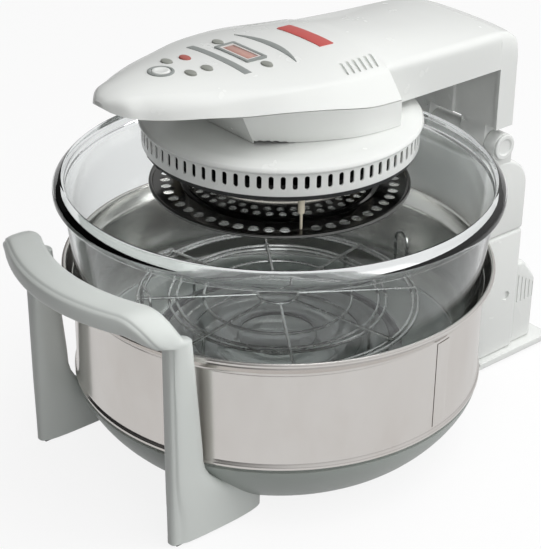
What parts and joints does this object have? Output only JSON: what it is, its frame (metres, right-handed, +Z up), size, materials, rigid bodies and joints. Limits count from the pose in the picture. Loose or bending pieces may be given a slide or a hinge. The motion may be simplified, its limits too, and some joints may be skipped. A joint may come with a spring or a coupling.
{
  "type": "halogen oven",
  "caption": "Countertop halogen oven: glass bowl in a steel jacket with front handle, and a heater head with fan on a hinged arm over it.",
  "frame": {"origin": "middle of the footprint at the surface that the oven stands on", "axes": "+Z up, -Y towards the handle and the arm's nose, +Y towards the column, +X to the right seen from the front"},
  "size_m": [0.34, 0.4748, 0.3227],
  "materials": {
    "white_gloss_plastic": "glossy moulded plastic",
    "grey_satin_plastic": "satin moulded plastic",
    "polished_steel": "polished stainless sheet",
    "clear_glass": "clear pressed glass",
    "black_rubber": "matte rubber",
    "chrome_wire": "bright plated wire",
    "cream_ceramic": "matte ceramic",
    "frosted_quartz": "frosted quartz tube",
    "grey_key_plastic": "soft matte key",
    "red_key_plastic": "soft matte key",
    "smoked_window": "smoked clear plastic",
    "dark_grey_trim": "printed or moulded trim",
    "circuit_board": "lacquered board",
    "cast_aluminium": "plain sheet or casting"
  },
  "bodies": {
    "root": {"base_pan": "grey_satin_plastic", "pan_foot_front": "black_rubber", "pan_foot_left": "black_rubber", "pan_foot_right": "black_rubber", "steel_jacket": "polished_steel", "jacket_lap_strip": "polished_steel", "bowl_cradle": "cast_aluminium", "cradle_pad": "black_rubber", "front_handle": "grey_satin_plastic", "handle_pad_left": "black_rubber", "handle_pad_right": "black_rubber", "column_base": "white_gloss_plastic", "column_pad_front": "black_rubber", "column_pad_rear": "black_rubber", "column_lower_casing": "white_gloss_plastic", "column_upper_casing": "white_gloss_plastic", "column_back_cover": "white_gloss_plastic", "cord_inlet_bush": "black_rubber", "hinge_pin": "polished_steel", "hinge_cap_left": "white_gloss_plastic", "hinge_cap_right": "white_gloss_plastic", "hinge_spring": "polished_steel", "hinge_sleeve": "white_gloss_plastic"},
    "bowl": {"glass_bowl": "clear_glass"},
    "rack": {"wire_rack": "chrome_wire"},
    "fan": {"hot_air_fan": "cast_aluminium", "cooling_fan": "black_rubber", "fan_shaft": "polished_steel"},
    "timer_button": {"timer_button": "grey_key_plastic"},
    "stop_button": {"stop_button": "red_key_plastic"},
    "warmer_button": {"warmer_button": "grey_key_plastic"},
    "minus_button": {"minus_button": "grey_key_plastic"},
    "plus_button": {"plus_button": "grey_key_plastic"},
    "light_button": {"light_button": "grey_key_plastic"},
    "start_button": {"start_button": "white_gloss_plastic"},
    "lid": {"arm_cover": "white_gloss_plastic", "arm_under_cover": "white_gloss_plastic", "arm_leg_panel": "white_gloss_plastic", "start_ring": "polished_steel", "panel_stripe": "dark_grey_trim", "panel_crescent": "dark_grey_trim", "bare_badge_plate": "red_key_plastic", "display_frame": "dark_grey_trim", "display_module": "smoked_window", "control_board": "circuit_board", "motor_housing": "white_gloss_plastic", "head_dome": "white_gloss_plastic", "head_slot_ring": "white_gloss_plastic", "head_seal": "black_rubber", "head_reflector": "polished_steel", "guard_plate": "polished_steel", "guard_post_1": "cream_ceramic", "guard_post_2": "cream_ceramic", "guard_post_3": "cream_ceramic", "halogen_lamp": "frosted_quartz", "lamp_socket_left": "cream_ceramic", "lamp_socket_right": "cream_ceramic", "fan_motor": "polished_steel", "motor_plate": "cast_aluminium", "thermostat": "cast_aluminium"}
  },
  "joints": [
    {"name": "lid_hinge", "type": "hinge", "parent": "root", "child": "lid", "pos_m": [0, 0.1625, 0.204], "axis": [-1, 0, 0], "range_deg": [0, 78]},
    {"name": "bowl_lift", "type": "slide", "parent": "root", "child": "bowl", "axis": [0, 0, 1], "range_m": [0, 0.045]},
    {"name": "rack_lift", "type": "slide", "parent": "bowl", "child": "rack", "axis": [0, 0, 1], "range_m": [0, 0.04]},
    {"name": "fan_spin", "type": "hinge", "parent": "lid", "child": "fan", "pos_m": [0, -0.0225, 0.233], "axis": [0, 0, 1], "continuous": true},
    {"name": "timer_press", "type": "slide", "parent": "lid", "child": "timer_button", "axis": [0, 0, -1], "range_m": [0, 0.001], "stiffness_N_per_m": 300, "springref_m": -0.0005},
    {"name": "stop_press", "type": "slide", "parent": "lid", "child": "stop_button", "axis": [0, 0, -1], "range_m": [0, 0.001], "stiffness_N_per_m": 300, "springref_m": -0.0005},
    {"name": "warmer_press", "type": "slide", "parent": "lid", "child": "warmer_button", "axis": [0, 0, -1], "range_m": [0, 0.001], "stiffness_N_per_m": 300, "springref_m": -0.0005},
    {"name": "minus_press", "type": "slide", "parent": "lid", "child": "minus_button", "axis": [0, 0, -1], "range_m": [0, 0.001], "stiffness_N_per_m": 300, "springref_m": -0.0005},
    {"name": "plus_press", "type": "slide", "parent": "lid", "child": "plus_button", "axis": [0, 0, -1], "range_m": [0, 0.001], "stiffness_N_per_m": 300, "springref_m": -0.0005},
    {"name": "light_press", "type": "slide", "parent": "lid", "child": "light_button", "axis": [0, 0, -1], "range_m": [0, 0.001], "stiffness_N_per_m": 300, "springref_m": -0.0005},
    {"name": "start_press", "type": "slide", "parent": "lid", "child": "start_button", "axis": [0, 0, -1], "range_m": [0, 0.001], "stiffness_N_per_m": 300, "springref_m": -0.0005}
  ]
}
